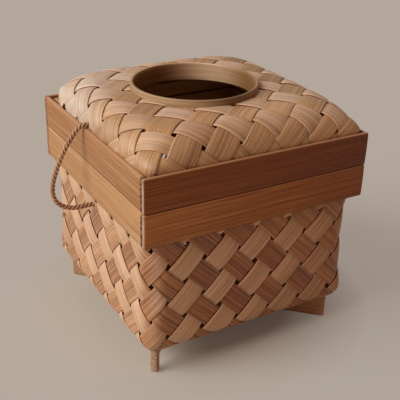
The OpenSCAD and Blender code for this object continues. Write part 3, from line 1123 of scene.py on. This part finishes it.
# The inside of the collar is made lighter by 0.36 of the ramp, as painted light.
collar_finish = level_grain_finish("collar_bamboo", tones(
    (0.3, (150, 122, 88)), (0.5, (178, 148, 110)), (0.9, (228, 192, 154)),
), 0.36)
inner_finish = level_grain_finish("inner_slat_bamboo", tones(
    (0.3, (170, 128, 82)), (0.5, (192, 152, 104)), (0.7, (210, 174, 126)),
))
dress([collar], collar_finish)
for side in SIDES:
    for node in (f"base_lip_{side}", f"lid_liner_{side}"):
        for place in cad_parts[node].material_slots:
            place.material = inner_finish


# %% Cord finish
def cord_finish(name):
    """Twisted twine with painted shade in the grooves between the plies and a painted highlight on
    their crests, which are hairy.
    """
    finish, tree, shader = new_finish(name)
    place = add(tree, "ShaderNodeTexCoord").outputs["Object"]
    fluff = noise(tree, place, (1400, 1400, 1400), 3.0)
    wear = noise(tree, place, (120, 120, 120), 2.0)
    crest = math(tree, "ADD", value_of(tree, "crest"), swing(tree, fluff, -0.25, 0.25))
    # Painted shade in the grooves and painted highlight on the crests.
    tint = ramp(tree, crest, tones((0.1, (92, 56, 36)), (0.5, (156, 108, 76)), (0.95, (216, 176, 138))))
    tint = blend_colour(tree, spread(tree, wear, 0.45, 0.65, 0.0, 0.5), tint, colour(140, 96, 68))
    tree.links.new(tint, shader.inputs["Base Color"])
    tree.links.new(swing(tree, fluff, 0.85, 0.65), shader.inputs["Roughness"])
    shader.inputs["Sheen Weight"].default_value = 0.2
    bumped(tree, shader, fluff, 0.5, 0.0003)
    return finish


twine = cord_finish("twisted_twine")
dress([cord, *knots.values()], twine)

# %% [markdown]
# ## Floor and light
#
# The box stands on a plain pale floor that runs out of the picture on all sides. One soft light on
# the left does most of the work, as a wide window would. It is a Sun lamp with a large angle, because
# an area lamp gets weaker with distance and would leave the far floor dark. A weak one from behind
# gives the far side of the lid its sheen. The world fills the shadows with warmer light, so that the
# front is darker and redder than the left side and the top.
# Away from the box, the floor shows part of its plain colour straight to the camera, which keeps the
# shadow light, and above the horizon the world shows that colour too.

# %% Floor
BACKDROP = colour(180, 168, 156)


def seen_straight(tree):
    """1 for rays that come from the camera or from a mirror or glass, and 0 for rays that light."""
    seen = add(tree, "ShaderNodeLightPath").outputs
    shown = math(tree, "MAXIMUM", seen["Is Camera Ray"], seen["Is Glossy Ray"])
    return math(tree, "MAXIMUM", shown, seen["Is Transmission Ray"])


floor_mesh = bpy.data.meshes.new("floor")
floor_mesh.from_pydata([(-4, -4, 0), (4, -4, 0), (4, 4, 0), (-4, 4, 0)], [], [(0, 1, 2, 3)])
floor = bpy.data.objects.new("floor", floor_mesh)
scene.collection.objects.link(floor)
floor_finish, floor_tree, floor_shader = new_finish("pale_floor")
floor_shader.inputs["Base Color"].default_value = colour(199, 192, 176)
floor_shader.inputs["Roughness"].default_value = 0.9
floor_shader.inputs["Specular IOR Level"].default_value = 0.0
paper = add(floor_tree, "ShaderNodeEmission", {"Color": colour(180, 172, 164), "Strength": 1.0})
spot = add(floor_tree, "ShaderNodeTexCoord").outputs["Object"]
away = add(floor_tree, "ShaderNodeVectorMath", {0: spot}, operation="LENGTH").outputs["Value"]
share = spread(floor_tree, away, 0.07, 0.13, 0.1, 0.62)
shown = math(floor_tree, "MULTIPLY", seen_straight(floor_tree), share)
mixed = add(floor_tree, "ShaderNodeMixShader", {
    0: shown, 1: floor_shader.outputs["BSDF"], 2: paper.outputs["Emission"],
})
floor_tree.links.new(mixed.outputs[0], floor_tree.nodes["Material Output"].inputs["Surface"])
floor_mesh.materials.append(floor_finish)

# %% Light and world
for name, energy, towards in (
    ("window_light", 2.65, (-0.8, 0.07, 0.6)),
    ("back_light", 0.5, (-0.55, 0.75, 0.37)),
):
    lamp = bpy.data.lights.new(name, "SUN")
    lamp.angle = np.radians(40)
    lamp.energy = energy
    light = bpy.data.objects.new(name, lamp)
    scene.collection.objects.link(light)
    light.rotation_mode = "QUATERNION"
    light.rotation_quaternion = Vector(towards).to_track_quat("Z", "Y")

world = bpy.data.worlds.new("soft_world")
world.use_nodes = True
scene.world = world
air = world.node_tree
sky = air.nodes["Background"]
sky.inputs["Color"].default_value = colour(240, 167, 116)
sky.inputs["Strength"].default_value = 0.25
paper = add(air, "ShaderNodeBackground", {"Color": BACKDROP, "Strength": 1.0})
mixed = add(air, "ShaderNodeMixShader", {
    0: seen_straight(air), 1: sky.outputs["Background"], 2: paper.outputs["Background"],
})
air.links.new(mixed.outputs[0], air.nodes["World Output"].inputs["Surface"])
scene.view_settings.view_transform = "Standard"
